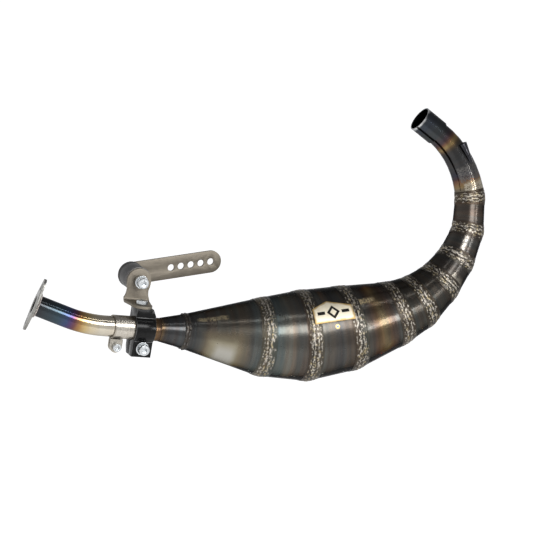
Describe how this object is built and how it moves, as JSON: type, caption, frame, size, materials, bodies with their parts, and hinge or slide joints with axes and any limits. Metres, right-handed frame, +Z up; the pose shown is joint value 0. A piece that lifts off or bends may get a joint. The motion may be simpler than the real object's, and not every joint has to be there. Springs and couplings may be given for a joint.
{
  "type": "exhaust system",
  "caption": "Two-stroke expansion chamber exhaust with welded cones, slip-on inlet, swivelling flanged outlet pipe and a clamp-on rubber hanger with a drilled arm.",
  "frame": {"origin": "centre of the inlet sleeve's mouth, where the exhaust slips over the cylinder's spigot", "axes": "+X along the stinger towards the chamber, +Z up, +Y towards the machine that the hanger arm bolts to"},
  "size_m": [0.5749, 0.1431, 0.3537],
  "materials": {
    "tinted_steel": "heat-tinted blue-grey steel under clear lacquer",
    "baffle_steel": "heat-tinted steel, straw and bare in the middle, under clear lacquer",
    "header_steel": "dark heat-tinted steel with gold rings, under clear lacquer",
    "weld_metal": "wire-dressed weld metal",
    "bright_steel": "bright bare steel tube",
    "outlet_steel": "polished steel with blue, purple and straw heat tint",
    "flange_steel": "satin grey steel",
    "badge_metal": "thin pressed badge plate, gold-tinted edge, blank",
    "black_aluminium": "black anodised, bright worn edges",
    "bracket_steel": "warm grey brushed plate",
    "black_rubber": "matt black rubber",
    "zinc_steel": "bright zinc-plated fasteners"
  },
  "bodies": {
    "chamber": {"end_cone": "tinted_steel", "baffle_cone": "baffle_steel", "rear_belly": "tinted_steel", "front_belly": "tinted_steel", "diffuser_cone_4": "tinted_steel", "diffuser_cone_3": "tinted_steel", "diffuser_cone_2": "tinted_steel", "diffuser_cone_1": "tinted_steel", "header_cone_2": "tinted_steel", "header_cone_1": "tinted_steel", "header_bend": "header_steel", "inlet_sleeve": "header_steel", "weld_seam_1": "weld_metal", "weld_seam_2": "weld_metal", "weld_seam_3": "weld_metal", "weld_seam_4": "weld_metal", "weld_seam_5": "weld_metal", "weld_seam_6": "weld_metal", "weld_seam_7": "weld_metal", "weld_seam_8": "weld_metal", "weld_seam_9": "weld_metal", "weld_seam_10": "weld_metal", "badge_plate": "badge_metal", "spring_pocket": "header_steel", "stinger_tube": "bright_steel", "pinch_ear_front": "bright_steel", "pinch_ear_rear": "bright_steel", "pinch_screw": "zinc_steel", "pinch_nut": "zinc_steel"},
    "outlet": {"outlet_pipe": "outlet_steel", "flange_weld": "weld_metal", "outlet_flange": "flange_steel"},
    "clamp": {"clamp_block": "black_aluminium", "clamp_washer": "zinc_steel", "clamp_screw": "zinc_steel", "foot_screw": "zinc_steel"},
    "hanger": {"hanger_bracket": "bracket_steel", "pivot_nut": "zinc_steel", "pivot_washer": "zinc_steel", "pivot_screw": "zinc_steel"},
    "arm": {"rubber_mount": "black_rubber", "mount_disc_front": "zinc_steel", "mount_disc_rear": "zinc_steel", "hole_strip_arm": "bracket_steel", "arm_washer": "zinc_steel", "arm_nut": "zinc_steel", "mount_stud": "zinc_steel"}
  },
  "joints": [
    {"name": "outlet_swivel", "type": "hinge", "parent": "chamber", "child": "outlet", "pos_m": [-0.33064, -0.01783, -0.29128], "axis": [1, 0, 0], "continuous": true},
    {"name": "clamp_swivel", "type": "hinge", "parent": "chamber", "child": "clamp", "pos_m": [-0.33164, -0.01783, -0.29128], "axis": [1, 0, 0], "continuous": true},
    {"name": "hanger_swivel", "type": "hinge", "parent": "clamp", "child": "hanger", "pos_m": [-0.33614, -0.01783, -0.26527], "axis": [0, 0, 1], "range_deg": [-180, 180]},
    {"name": "arm_swing", "type": "hinge", "parent": "hanger", "child": "arm", "pos_m": [-0.33614, 0.00517, -0.23777], "axis": [0, 1, 0], "range_deg": [-180, 180]}
  ]
}
